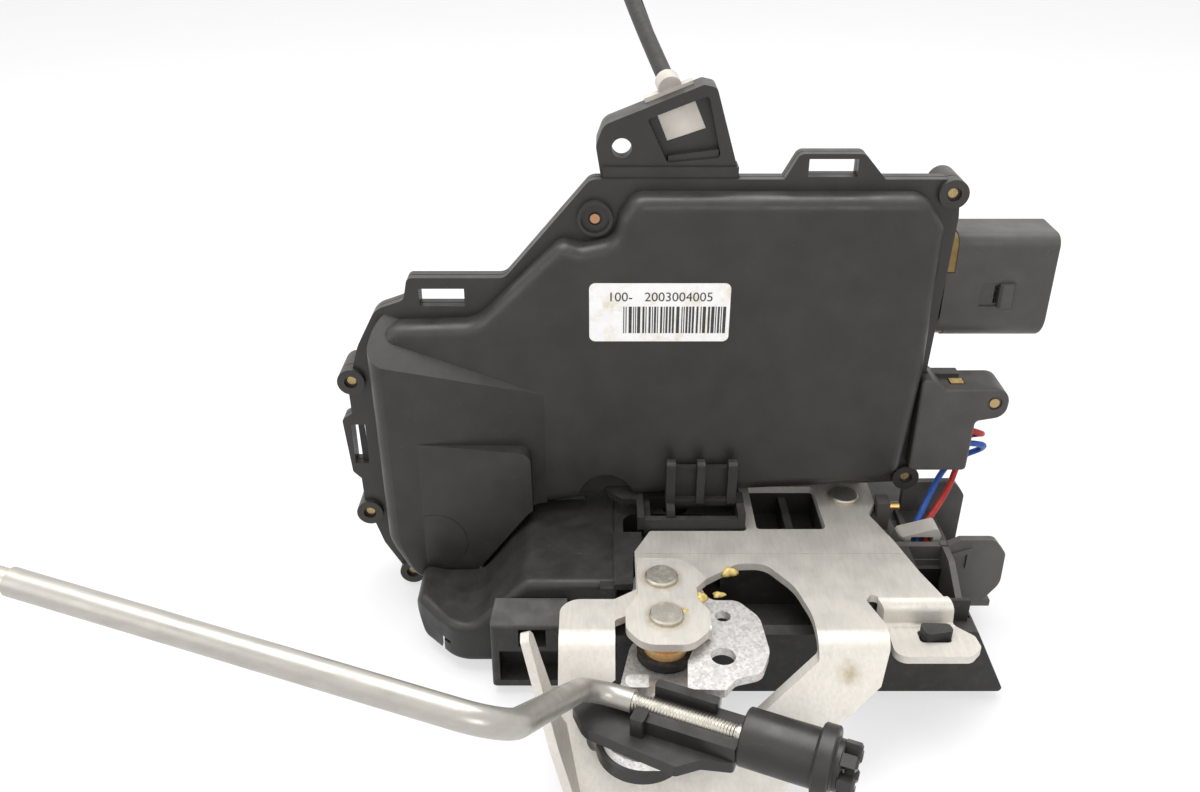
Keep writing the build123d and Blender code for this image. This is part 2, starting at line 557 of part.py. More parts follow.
def inner_plate():
    flat = outline([
        (-4.4, 36, 0), (-4.4, 13.4, 1), (-29.2, 13.4, 1), (-33.4, 4.6, 0), (-33.4, -10.3, 1),
        (-38.6, -13.9, 1), (-51.3, -13.9, 5), (-51.3, -24.4, 0), (23.6, -24.4, 0), (20.4, -14.4, 1.1),
        (22.0, -11.8, 1.2), (23.4, -13.0, 0), (38.9, -13.0, 0), (35.7, -3.6, 1), (32.3, 9.5, 4),
        (28.4, 21.0, 2), (31.2, 26.0, 2), (31.4, 36, 0)])
    plate = slab_xy(flat, PLATE_LOW, PLATE_TOP)
    plate -= slab_xy(outline([(-1.7, 14.2, 1), (16.2, 14.2, 1.5), (15.8, 34, 1), (-1.7, 34, 1)]), 20, 40)
    arch = outline([
        (-38.6, -27, 0), (-38.6, -21.4, 1), (-35.4, -19.6, 1), (-34.0, -14.0, 2), (-20.4, -13.4, 1),
        (-17.8, -7.4, 1), (-8.4, -0.4, 4), (-1.7, -0.1, 5), (4.4, -9.0, 16), (6.9, -19.3, 20), (7.0, -27, 0)])
    plate -= slab_xy(arch, 20, 40)
    plate -= rod_z(*RELEASE, PIN_R + SEAT, 20, 40)
    plate -= rod_z(CLAW_X, CLAW_Y, 3.0 + SEAT, 20, 40)
    # fine coined line across the plate
    plate -= block(-33.5, 38, 3.7, 3.9, PLATE_TOP - 0.12, 40)
    return plate + plate_leg() + plate_pad() + plate_horn()


def plate_leg():
    """The part in front of the bend, sloping down at 45 degrees to the lock face."""
    # centre line 1 mm below the top face; the bend is rounded
    drop = STEEL * math.tan(math.radians(22.5))
    profile = outline([
        (-24, PLATE_LOW, 0), (-24, PLATE_TOP, 0), (-27.4, PLATE_TOP, 7.0), (-56.5, 0.4, 0),
        (-56.5 + STEEL * math.sqrt(2), 0.4, 0), (-27.4 + drop, PLATE_LOW, 5.0)])
    sheet = slab_yz(profile, -51.3, 24.2)
    front = plain((-51.3, 35), (-51.3, 22), (-49.6, 14.5), (-47.4, 7.0), (-44.0, 0), (-10, 0),
                  (-4.0, 4.0), (1.0, 10.6), (8.1, 15.3), (13.4, 17.8), (20.2, 22.0), (22.8, 27.5), (24.2, 35))
    hole = outline([(7.0, 35, 0), (6.9, 25.9, 1), (-7.3, 17.4, 0), (-18.0, 12.4, 3), (-45.0, 12.4, 2),
                    (-45.0, 20.0, 1), (-38.6, 23.0, 0), (-38.6, 35, 0)])
    sheet &= slab_xz(front, -70, 0)
    return sheet - slab_xz(hole, -70, 0)


def plate_pad():
    """Joggled arm and pad beside the leg."""
    profile = outline([
        (-12.9, PLATE_LOW, 0), (-12.9, PLATE_TOP, 0), (-15.6, PLATE_TOP, 2.6), (-15.9, 23.5, 0.8),
        (-27.0, 23.5, 0), (-27.0, 21.5, 0), (-13.8, 21.5, 2.0), (-13.5, PLATE_LOW, 0.6)])
    sheet = slab_yz(profile, 23.2, 46)
    plan = outline([(23.4, -12, 0), (23.4, -14, 0), (25.4, -17, 0), (25.2, -27, 3), (42.6, -27, 2.4),
                    (45.6, -23.8, 1.5), (45.2, -20.0, 1.5), (41.0, -15.8, 1), (39.6, -12, 0)])
    sheet &= slab_xy(plan, 15, 40)
    return sheet - slab_xy(outline([(32.0, -18.0, 1), (39.4, -18.0, 1), (39.4, -22.2, 1), (32.0, -22.2, 1)]),
                           15, 40)


def plate_horn():
    """Upturned horn at the leg's lower left corner, running up to a rounded tip."""
    foot = Vector(-46.9, -50.1, 5.4)
    up_slope = Vector(-0.207, 0.692, 0.692)
    normal = Vector(0.936, -0.066, 0.347)
    plane = Plane(origin=foot, x_dir=up_slope, z_dir=up_slope.cross(normal).cross(up_slope) * -1)
    shape = outline([(0, 0.4, 0), (14.5, 0.4, 2), (16.0, -3.0, 2), (34.5, -11.5, 1.0), (35.3, -13.6, 0.9),
                     (33.0, -15.0, 1.2), (10.0, -9.5, 8), (-1.0, -5.0, 1)])
    return extrude(plane * shape, amount=STEEL / 2, both=True)


def pivot_plate():
    plate = slab_xy(outline([
        (-33.2, -0.6, 1), (-21.6, -0.6, 7), (-16.4, -8.6, 1.2), (-19.3, -12.0, 1), (-19.3, -16.4, 1),
        (-16.8, -20.4, 1.5), (-17.4, -27.4, 5), (-21.8, -32.0, 5), (-32.4, -32.0, 6), (-36.2, -26.6, 4),
        (-36.2, -20.4, 3), (-33.2, -14.6, 1)]), PLATE_TOP, PLATE_TOP + STEEL)
    tab = block(-19.0, -16.9, -26.6, -22.6, PLATE_LOW + 0.3, PLATE_TOP + STEEL)
    plate += fillet(tab.edges().filter_by(Axis.X), 0.8)
    plate -= rod_z(*RELEASE, PIN_R + SEAT, 20, 40)
    plate -= rod_z(*OUTER, PIN_R + SEAT, 20, 40)
    return plate


def rivet_head(x, y, radius, base, height):
    head = rod_z(x, y, radius, base, base + height)
    return chamfer(head.edges().sort_by(Axis.Z)[-1], 0.35)


def pivot_rivets():
    top = PLATE_TOP + STEEL
    release = rod_z(*RELEASE, PIN_R, 23.6, top) + rivet_head(*RELEASE, 3.9, top, 1.1)
    release += rod_z(*RELEASE, 4.2, 22.9, 24.7)
    outer = rod_z(*OUTER, PIN_R, 7, top) + rivet_head(*OUTER, 3.9, top, 1.1)
    catch = rod_z(CLAW_X, CLAW_Y, 4.0, 0.3, PLATE_LOW) + rod_z(CLAW_X, CLAW_Y, 3.0, PLATE_LOW, PLATE_TOP)
    catch += rivet_head(CLAW_X, CLAW_Y, 3.9, PLATE_TOP, 1.0)
    pawl_pin = rod_z(PAWL_X, PAWL_Y, 3.5, 0.3, 20)
    return [release, outer, catch, pawl_pin]


def release_lever():
    low, high = 25.0, 27.1
    lever = slab_xy(outline([
        (-34.4, -8.0, 5), (-32.5, -15.0, 4), (-24.0, -15.4, 3), (-18.2, -20.4, 2), (-22.6, -32.5, 3),
        (-23.2, -41.0, 0.8), (-15.0, -41.4, 0.8), (-12.6, -38.0, 2.5), (-6.6, -36.2, 3.5), (-4.0, -29.4, 6),
        (-4.8, -17.6, 7), (-9.4, -11.4, 3.5), (-16.1, -11.4, 3), (-19.4, -1.0, 5), (-21.4, 10.6, 1.2),
        (-24.2, 10.6, 1.2), (-27.4, 1.6, 4), (-33.5, -1.0, 5)]), low, high)
    lever += block(-22.6, -15.8, -41.1, -39.3, 21.6, high)
    lever -= rod_z(*RELEASE, PIN_R + RUN, 20, 30)
    lever -= rod_z(-13.4, -17.2, 1.85, 20, 30)
    lever -= rod_z(-14.6, -30.8, 2.8, 20, 30)
    return lever


def outer_lever():
    low, high = 17.6, 20.0
    hub = outline([(OUTER[0] - 7.2, OUTER[1] + 7.2, 7.1), (OUTER[0] + 7.2, OUTER[1] + 7.2, 7.1),
                   (OUTER[0] + 6.4, -34, 6), (-22.6, -45, 6), (-26, -54.8, 5), (-40, -54.8, 9),
                   (-43.0, -40, 5), (-37.6, -33, 4)])
    lever = slab_xy(hub, low, high) - rod_z(*OUTER, PIN_R + RUN, 0, 40)
    lever += slab_xy(outline([(-36.4, -36.6, 1.8), (-31.2, -36.6, 0.5), (-31.2, -32.6, 0.5),
                              (-36.4, -32.6, 1.5)]), high, 23.4)
    return lever - rod_z(*SWIVEL, 3.0 + RUN, 0, 40)


def pivot_bush():
    bush = rod_z(*OUTER, 5.1, 22.4, 24.6) + rod_z(*OUTER, 3.8, 24.6, PLATE_TOP)
    return bush - rod_z(*OUTER, PIN_R, 20, 40)


def lever_washer():
    return ring_z(*OUTER, 6.6, PIN_R, 20.3, 22.4)


# ---- handle rod and its clip --------------------------------------------------------------
BEND_1 = (-45.1, -39.1, ROD_Z)
BEND_2 = (-56.2, -94.5, 69.7)
SLEEVE_RUN = 86.0           # how far the sleeve reaches past the second bend
ROD_BEND = (-149.0, -70.9, 82.9)
ROD_TIP = (-150.6, -57.0, 88.0)


def swept(points, radii, radius, bore=0.0):
    path = FilletPolyline(*points, radius=radii)
    plane = Plane(origin=path @ 0, z_dir=path % 0)
    ring = Circle(radius) - Circle(bore) if bore else Circle(radius)
    return sweep(plane * ring, path=path)


def threaded_rod():
    points = [along_rod(45.0), BEND_1, BEND_2, ROD_BEND, ROD_TIP]
    rod = swept(points, [7, 8, 5], ROD_R)
    return rod - (on_rod(ROD_R + 1, 0.5, 23.0) - on_rod(CORE_R, 0, 24))


def rod_sleeve():
    far = Vector(*ROD_BEND) - Vector(*BEND_2)
    end = Vector(*BEND_2) + far.normalized() * SLEEVE_RUN
    return swept([along_rod(0), BEND_1, BEND_2, tuple(end)], [7, 8], TUBE_R, ROD_R + 0.02)


def on_clip(face, low, high):
    """Slab in the clip's own plan: u along the rod from its step, v across it."""
    plane = Plane(origin=along_rod(0, low), x_dir=(*ROD_DIR, 0), z_dir=(0, 0, 1))
    return extrude(plane * face, amount=high - low)


def rod_clip():
    base = on_clip(outline([(-11.8, 0.6, 3), (-6, 2.8, 2), (-2, 5.2, 2), (8.5, 5.6, 1), (23.9, 5.0, 1),
                            (23.9, -5.2, 1), (17.5, -7.0, 1), (13.4, -10.8, 1.2), (-8, -8.6, 5), (-13.0, -3.5, 1.5)]), 20.3, 23.1)
    base += on_clip(outline([(3.6, 4.9, 0.8), (23.9, 4.9, 0), (23.9, -5.0, 0), (3.6, -5.0, 0.8)]), 23.1, 26.6)
    base += on_clip(outline([(3.6, 4.9, 0.8), (17.5, 4.9, 0.5), (17.5, 2.6, 0.5), (3.6, 2.6, 0.5)]), 26.6, 29.6)
    base += on_clip(outline([(1.6, -2.6, 0.4), (4.6, -2.6, 0.4), (4.6, -6.6, 0.4), (1.6, -6.6, 0.4)]), 23.1, 27.8)
    base -= on_rod(ROD_R + 0.02, -20, 30)
    base -= on_clip(outline([(-20, 2.02, 0), (30, 2.02, 0), (30, -2.02, 0), (-20, -2.02, 0)]), ROD_Z, 36)
    base -= on_rod(TUBE_R + 0.3, -20, 3.0)
    collar = on_rod(3.4, 23.9, 35.0) - on_rod(ROD_R + 0.02, 20, 40)
    return base + collar


def retaining_disc():
    disc = rod_z(*SWIVEL, 9.8, 13.0, 17.3)
    disc = chamfer(disc.edges().filter_by(GeomType.CIRCLE), 0.6)
    disc -= ring_z(*SWIVEL, 8.0, 5.4, 13, 15.2)
    return disc + rod_z(*SWIVEL, 3.0, 17.3, 20.3)


def adjuster_sleeve():
    """Turned sleeve with a grip ring and six spring fingers that lock on the thread."""
    body = on_rod(6.1, 24.3, 39.6) + on_rod(7.5, 39.6, 43.0) + on_rod(5.3, 43.0, 44.6)
    body = chamfer(body.edges().filter_by(GeomType.CIRCLE), 0.35)
    for finger in range(6):
        turned = Plane(origin=along_rod(44.4), z_dir=(*ROD_DIR, 0)) * Rot(0, 0, 60 * finger)
        prong = extrude(turned * Pos(4.1, 0) * Rectangle(2.4, 2.6), amount=3.4)
        body += chamfer(prong.faces().sort_by(Axis((0, 0, 0), (*ROD_DIR, 0)))[-1].edges(), 0.5)
    body -= on_rod(3.4 + RUN, 20, 36)
    return body - on_rod(ROD_R + RUN, 30, 60)


# ---- bridge, flaps, small switch plug and wires --------------------------------------------
def comb_bridge():
    front = block(-30.7, -4.8, 14.0, 16.0, PLATE_LOW, 32.4)
    side = block(-6.8, -4.8, 14.0, 23.6, PLATE_LOW, 34.4)
    left = block(-30.7, -28.9, 14.0, 28.0, PLATE_LOW, 31.2)
    bridge = front + side + left + block(-24.8, -4.8, 19.2, 23.6, 33.4, 34.8)
    bridge += block(-24.0, -6.4, 21.6, 23.4, 34.6, 43.4)
    for x0, x1 in ((-25.0, -22.7), (-17.2, -15.2), (-9.3, -7.0)):
        rib = slab_yz(outline([(18.4, 33.6, 1), (18.8, 46.4, 1.1), (21.6, 46.4, 1.1), (23.5, 41, 0),
                               (23.5, 33.6, 0)]), x0, x1)
        bridge += rib
    bridge += block(-24.9, -22.8, 15.0, 20.0, 31.0, 34.6)
    # tab that reaches left over the side cover
    bridge += slab_xy(outline([(-40.6, 27.4, 0.6), (-39.6, 28.2, 0.4), (-32.6, 28.2, 0.6), (-30.7, 26.6, 0.6),
                               (-30.7, 14.0, 0), (-32.4, 14.0, 0), (-32.4, 22.6, 0.6), (-36.2, 22.6, 0.6),
                               (-39.8, 26.2, 0.6)]), 31.4, 33.2)
    bridge += block(-32.4, -30.7, 14.0, 24.0, 29.5, 33.2)
    bridge += block(-30.7, -4.8, 26.4, 29.8, PLATE_LOW, 31.0)
    return bridge + block(-6.8, -4.8, 22.6, 28, PLATE_LOW, 31.0)


PLUG_EAR = (58.1, 59.9)      # screw ear of the switch plug
PLUG_BACK = 36.8


def switch_plug():
    """Switch housing on the cover's right edge, with a screw ear; its left edge lies on the flange."""
    body = soft_slab([(38.9, 39.7, 1.2), (38.9, 66.4, 1.2), (41.6, 66.4, 1.2), (45.0, 63.8, 1.2),
                      (62.1, 63.9, 4.0), (61.6, 55.8, 3.6), (54.2, 54.4, 1.2), (53.9, 39.7, 1.2)],
                     26.0, PLUG_BACK, 0.8)
    body -= block(38, 41.4, FLANGE_Y, 40, 30, 70)
    body += block(42.2, 50.4, 33.4, PLUG_BACK, 62, 64.6)
    body -= rod_y(*PLUG_EAR, 1.25 + SEAT, 20, 34)
    body -= rod_y(*PLUG_EAR, 1.9, 20, 26.5)
    body -= block(47.0, 51.0, 29.0, 32.4, 62.6, 70)
    return body - block(51.8, 55, 30.0, 36.0, 41.0, 50.6)


def switch_terminal():
    return block(47.3, 50.7, 29.3, 32.1, 62.6, 64.0)


def plug_screw():
    return rod_y(*PLUG_EAR, 1.25, 26.1, 34.0)


WIRE_R = 0.8
RED_WIRE = [
    (51.9, 33.4, 48.0), (56.4, 33.2, 47.8), (60.0, 34.8, 45.8), (61.2, 39.0, 43.4), (58.2, 41.4, 41.4),
    (56.6, 38.8, 39.8), (54.4, 33.6, 37.2), (51.4, 29.2, 32.2), (47.2, 24.8, 28.2), (43.0, 20.6, 25.2),
    (42.8, 14.6, 24.6),
]
BLUE_WIRE = [
    (51.9, 32.0, 44.6), (56.6, 32.0, 44.6), (60.6, 33.4, 43.2), (61.0, 36.4, 40.2), (57.2, 37.8, 37.4),
    (52.6, 36.0, 35.4), (49.2, 31.8, 34.2), (46.6, 28.4, 31.6), (43.6, 24.4, 28.2), (40.8, 20.2, 25.6),
    (40.4, 14.6, 24.6),
]


def wire(points):
    radii = [0.9 * radius for radius in cable_radii(points)]
    return swept(points, radii, WIRE_R)


def wire_guard():
    """Channel on the latch housing's right end, with a tall flap behind and a curved one in front."""
    floor = block(47.6, 60.5, 10.4, 34.0, 7.6, 9.4) + block(31.4, 34.6, 23.0, 27.4, 21.4, 31.4)
    floor -= rod_x(25.2, 29.2, 1.1 + SEAT, 32.4, 40)
    upper = slab_xz(outline([(40.2, 32.2, 1), (54.0, 32.4, 3), (57.0, 28.2, 2.4), (56.8, 8.4, 1), (47.8, 8.4, 0),
                             (47.2, 22.4, 0), (40.2, 23.0, 0)]), 32.0, 34.0)
    lower = slab_xz(outline([(46.6, 27.6, 0.4), (49.6, 29.3, 0.6), (58.4, 29.3, 2.4), (61.6, 25.2, 2.4),
                             (61.8, 15.6, 6), (57.2, 9.0, 6), (51.0, 7.6, 2), (47.6, 7.8, 0.5)]), 9.6, 11.6)
    # the rib folded over the lower flap
    lower += slab_xz(plain((47.4, 23.6), (47.4, 25.0), (52.9, 26.9), (52.9, 20.8), (51.7, 20.8), (51.7, 25.3)),
                     9.0, 9.8)
    wall = block(31.9, 47.2, 10.2, 12.2, 21.6, 27.0) + block(45.0, 47.2, 10.2, 12.2, 21.6, 27.4)
    wall += slab_xz(plain((31.9, 21.6), (31.9, 33.0), (34.6, 28.4), (36.6, 26.8), (36.6, 21.6)), 12.6, 14.0)
    wall += block(31.9, 36.6, 12.0, 13.0, 21.6, 26.8)
    wall += block(38.0, 39.4, 21.6, 26.8, 22.5, 25.0)
    base = slab_xy(plain((31.9, 12.2), (47.4, 12.2), (47.4, 34.0), (39.0, 34.0), (39.0, 27.4), (31.9, 27.4)), 21.4, 23)
    side = slab_yz(plain((9.8, 7.6), (9.8, 27.2), (16, 22.8), (32.2, 22.8), (33.8, 24), (33.8, 7.6)), 47.6, 49.4)
    # rim of the channel, running forward to the plate's corner
    rim = slab_yz(plain((12.0, 21.7), (12.0, 26.4), (9.8, 27.2), (4.0, 27.0), (-6.0, 21.4), (-6.0, 16.0),
                        (7.8, 16.0), (7.8, 21.7)), 45.2, 46.8)
    return floor + upper + lower + wall + base + side + rim + block(31.9, 49.4, 9.8, 12.2, 21.4, 23.0)


def wire_clip():
    arch = slab_xz(outline([(35.2, 23.05, 0), (35.6, 26.8, 1), (44.8, 29.6, 1), (46.2, 27.4, 1), (45.4, 23.05, 0)]),
                   14.2, 19.4)
    return arch - block(38.4, 44.2, 13, 20.5, 22.0, 27.0)


def guard_pin():
    return rod_x(25.2, 29.2, 1.1, 32.4, 37.4)


# ---- inside the box -----------------------------------------------------------------------
GEAR_TEETH = 36
WORM_R = 3.6
MOTOR_TOP = 48.0


def lock_motor():
    can = rod_z(MOTOR_X, MOTOR_Y, 9.8, 22.0, MOTOR_TOP)
    can &= block(MOTOR_X - 12, MOTOR_X + 12, MOTOR_Y - 9.0, MOTOR_Y + 9.0, 0, 60)
    return can + rod_z(MOTOR_X, MOTOR_Y, 3.5, MOTOR_TOP, MOTOR_TOP + 2)


def motor_worm():
    worm = rod_z(MOTOR_X, MOTOR_Y, 2.6, MOTOR_TOP + 2.4, 70.0)
    for turn in range(6):
        worm += Pos(MOTOR_X, MOTOR_Y, 53.5 + turn * 2.6) * Cylinder(WORM_R, 1.1)
    return worm - rod_z(MOTOR_X, MOTOR_Y, 1.0, 40, 80)


def motor_shaft():
    return rod_z(MOTOR_X, MOTOR_Y, 1.0, MOTOR_TOP + 2.3, 71.4)


def motor_cradle():
    """Moulding that carries the motor and the worm's free end on the back wall."""
    back = BACK_Y - WALL
    cradle = block(MOTOR_X - 8, MOTOR_X + 8, back - 2.5, back, 24, 71.0)
    cradle += block(MOTOR_X - 8, MOTOR_X + 5, MOTOR_Y - 3.5, back, 70.2, 71.4)
    for low in (26, 42):
        cradle += block(MOTOR_X - 8, MOTOR_X + 8, MOTOR_Y + 9.02, back, low, low + 3)
    return cradle - rod_z(MOTOR_X, MOTOR_Y, 1.0 + RUN, 68, 80)


def drive_gear():
    inner, outer = 12.2, 13.6
    wheel = rod_y(GEAR_X, GEAR_Z, inner, MOTOR_Y - 3, MOTOR_Y + 3)
    for tooth in range(GEAR_TEETH):
        angle = 2 * math.pi * (tooth + 0.5) / GEAR_TEETH
        place = Pos(GEAR_X, MOTOR_Y, GEAR_Z) * Rot(0, -math.degrees(angle), 0)
        wheel += place * Pos((inner + outer) / 2 - 0.2, 0, 0) * Box(outer - inner + 0.4, 6, 1.0)
    wheel += rod_y(GEAR_X, GEAR_Z, 4.0, MOTOR_Y + 3, MOTOR_Y + 9)
    wheel += rod_y(GEAR_X + 8.0, GEAR_Z, 2.0, MOTOR_Y + 3, MOTOR_Y + 13)
    return wheel - rod_y(GEAR_X, GEAR_Z, 2.0 + RUN, 0, 60)


def gear_axle():
    return rod_y(GEAR_X, GEAR_Z, 2.0, 27.0, BACK_Y - WALL)


def locking_lever():
    arm = slab_xz(outline([(LOCK_X - 5, LOCK_Z + 6, 5), (LOCK_X + 5, LOCK_Z + 6, 5), (LOCK_X + 5, LOCK_Z - 8, 4),
                           (LOCK_X + 2.5, 40, 2), (LOCK_X - 2.5, 40, 2), (LOCK_X - 6, LOCK_Z - 8, 3),
                           (GEAR_X + 2.6, GEAR_Z - 5.0, 3), (GEAR_X + 2.6, GEAR_Z + 5.0, 3)]), 43.4, 46.4)
    arm -= rod_y(LOCK_X, LOCK_Z, 2.5 + RUN, 0, 60)
    slot = outline([(GEAR_X + 3.7, GEAR_Z + 2.7, 2.4), (GEAR_X + 15.0, GEAR_Z + 2.7, 2.4),
                    (GEAR_X + 15.0, GEAR_Z - 2.7, 2.4), (GEAR_X + 3.7, GEAR_Z - 2.7, 2.4)])
    return arm - slab_xz(slot, 40, 50)


def locking_pin():
    return rod_y(LOCK_X, LOCK_Z, 2.5, 41.0, BACK_Y - WALL)


def inside_release_lever():
    arm = slab_xz(outline([(INSIDE_X - 5, INSIDE_Z + 5.4, 4.9), (INSIDE_X + 5, INSIDE_Z + 5, 4.9),
                           (INSIDE_X + 5, INSIDE_Z - 8, 3), (INSIDE_X + 2, 52, 2), (INSIDE_X - 3, 52, 2),
                           (INSIDE_X - 5, INSIDE_Z - 7, 4), (CABLE_X - 3.6, NIPPLE_Z - 3.2, 3),
                           (CABLE_X - 3.6, NIPPLE_Z + 3.2, 3)]), 38.8, 41.8)
    arm -= slab_xz(outline([(CABLE_X - 2.1, NIPPLE_Z - 1.85, 1.8), (CABLE_X + 2.1, NIPPLE_Z - 1.85, 1.8),
                            (CABLE_X + 2.1, NIPPLE_Z + 1.85, 1.8), (CABLE_X - 2.1, NIPPLE_Z + 1.85, 1.8)]),
                   30, 50)
    return arm - rod_y(INSIDE_X, INSIDE_Z, 2.5 + RUN, 0, 60)


def inside_lever_pin():
    return rod_y(INSIDE_X, INSIDE_Z, 2.5, 37.0, BACK_Y - WALL)


def lead_frame():
    board = slab_xz(outline([(4, 101, 2), (35.0, 101, 2), (35.0, 42, 2), (4, 42, 2)]), 49.6, 51.6)
    return board + block(33.0, 35.0, 43.0, 51.6, 80, 99.6) + block(34.8, 38.2, 43.0, 45.4, 80, 99.6)


SWITCHES = ((12.0, 58.0), (26.0, 58.0))


def microswitches():
    cases = []
    for x, z in SWITCHES:
        case = block(x - 5, x + 5, 43.4, 49.6, z - 6, z + 4)
        cases.append(case - rod_z(x, 46.5, 1.0 + RUN, z, z + 8))
    return cases


def switch_plunger(index):
    x, z = SWITCHES[index]
    return rod_z(x, 46.5, 1.0, z + 1.6, z + 6.0)


# ---- write every piece --------------------------------------------------------------------
PARTS = {
    "front_cover": front_cover, "rear_housing": rear_housing, "cover_seal": cover_seal,
    "cover_screws": cover_screws, "cover_label": cover_label, "connector_shell": connector_shell,
    "connector_seal": connector_seal, "connector_pins": connector_pins, "cable_bracket": cable_bracket,
    "cable_end_fitting": cable_end_fitting, "cable_inner_wire": cable_inner_wire,
    "cable_sheath": cable_sheath, "cable_far_end": cable_far_end, "lock_plate": lock_plate, "claw": claw, "pawl": pawl,
    "latch_housing": latch_housing, "side_cover": side_cover, "inner_plate": inner_plate,
    "pivot_plate": pivot_plate, "pivot_rivets": pivot_rivets, "release_lever": release_lever,
    "outer_lever": outer_lever, "pivot_bush": pivot_bush, "lever_washer": lever_washer,
    "threaded_rod": threaded_rod, "rod_sleeve": rod_sleeve, "rod_clip": rod_clip,
    "retaining_disc": retaining_disc, "adjuster_sleeve": adjuster_sleeve, "comb_bridge": comb_bridge,
    "switch_plug": switch_plug, "switch_terminal": switch_terminal, "plug_screw": plug_screw,
    "wire_guard": wire_guard, "wire_clip": wire_clip, "guard_pin": guard_pin,
    "lock_motor": lock_motor, "motor_worm": motor_worm, "motor_shaft": motor_shaft,
    "motor_cradle": motor_cradle, "drive_gear": drive_gear, "gear_axle": gear_axle,
    "locking_lever": locking_lever, "locking_pin": locking_pin,
    "inside_release_lever": inside_release_lever, "inside_lever_pin": inside_lever_pin,
    "lead_frame": lead_frame, "microswitches": microswitches,
}

os.makedirs("parts", exist_ok=True)
for name, make in PARTS.items():
    made = make()
    save(name, *made) if isinstance(made, list) else save(name, made)
save("red_wire", wire(RED_WIRE))
save("blue_wire", wire(BLUE_WIRE))
save("claw_spring", coil(CLAW_X, CLAW_Y, 6.2, 1.2, LOCK_PLATE + 0.02, 3, (CLAW_X + 14, CLAW_Y - 12)))
save("pawl_spring", coil(PAWL_X, PAWL_Y, 5.6, 1.0, LOCK_PLATE + 0.02, 3, (PAWL_X - 8, PAWL_Y - 14)))
for index in range(len(SWITCHES)):
    save(f"switch_plunger_{index + 1}", switch_plunger(index))
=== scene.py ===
import bpy
import json
import math
import random
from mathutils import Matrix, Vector


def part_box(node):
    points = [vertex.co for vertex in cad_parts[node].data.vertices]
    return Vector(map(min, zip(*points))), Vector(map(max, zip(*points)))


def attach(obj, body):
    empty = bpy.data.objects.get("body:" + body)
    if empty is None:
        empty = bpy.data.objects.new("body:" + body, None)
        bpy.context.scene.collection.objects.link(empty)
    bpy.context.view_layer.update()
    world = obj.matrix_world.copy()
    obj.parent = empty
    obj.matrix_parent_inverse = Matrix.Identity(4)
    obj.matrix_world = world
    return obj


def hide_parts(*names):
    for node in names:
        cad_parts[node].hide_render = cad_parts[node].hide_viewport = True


# Looks of a car door latch with its actuator box. Metres, in the part's own frame: X down the
# door, Y towards the inside of the car, Z away from the lock face, which lies on the table.

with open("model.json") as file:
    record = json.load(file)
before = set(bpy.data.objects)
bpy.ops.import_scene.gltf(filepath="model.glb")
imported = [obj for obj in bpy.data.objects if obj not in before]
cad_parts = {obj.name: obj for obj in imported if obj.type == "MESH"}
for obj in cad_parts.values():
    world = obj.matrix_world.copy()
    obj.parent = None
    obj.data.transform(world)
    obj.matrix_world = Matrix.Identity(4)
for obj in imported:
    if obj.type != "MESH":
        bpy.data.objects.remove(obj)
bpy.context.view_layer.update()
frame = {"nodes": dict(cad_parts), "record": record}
NODES = frame["nodes"]
MM = 0.001
random.seed(4)

# ---- places on the part -------------------------------------------------------------------
FACE_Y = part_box("cover_label")[0].y            # front of the label on the cover
INK = 0.03 * MM                                # how far the print stands off the label
STEP = Vector((-34.8, -43.6, 26.0)) * MM       # where the rod's sleeve ends and its thread starts
ROD_DIR = Vector((0.917, -0.398, 0.0)).normalized()
UP = Vector((0, 0, 1))
COPPER_PIN = Vector((-43.2, 29.0, 107.9)) * MM
LEG_STAIN = Vector((13.2, -32.8, 24.1)) * MM   # grease wiped on the plate's sloping leg
RIVETS = [Vector((-27.4, -8.5, 32.0)) * MM, Vector((-26.9, -22.4, 32.0)) * MM,
          Vector((23.5, 29.0, 30.0)) * MM]

# ---- label print, in mm along and up the cover --------------------------------------------
BARS_X = (-36.4, -12.4)
BARS_Z = (80.6, 87.6)
BAR_WIDTHS = (0.25, 0.25, 0.5, 0.75)
BAR_GAPS = (0.25, 0.3, 0.5)
DIGITS_AT = (-40.2, 89.0)
DIGITS_SIZE = 3.3

# ---- colours of what lies on the surfaces -------------------------------------------------
WHITE = (1.0, 1.0, 1.0, 1.0)
DUST = (0.36, 0.345, 0.33)
PALE_SPECK = (0.5, 0.48, 0.45)
SCUFFED = (0.34, 0.34, 0.34)
PLASTIC_SOIL = (0.11, 0.095, 0.075)
STEEL_SOIL = (0.12, 0.10, 0.075)
RIVET_GREASE = (0.30, 0.21, 0.075)
ZINC_SPECK = (0.30, 0.28, 0.25)
ZINC_SOIL = (0.30, 0.24, 0.16)
RUBBER_DUST = (0.4, 0.38, 0.36)
GLUE_STAIN = (0.60, 0.50, 0.27)


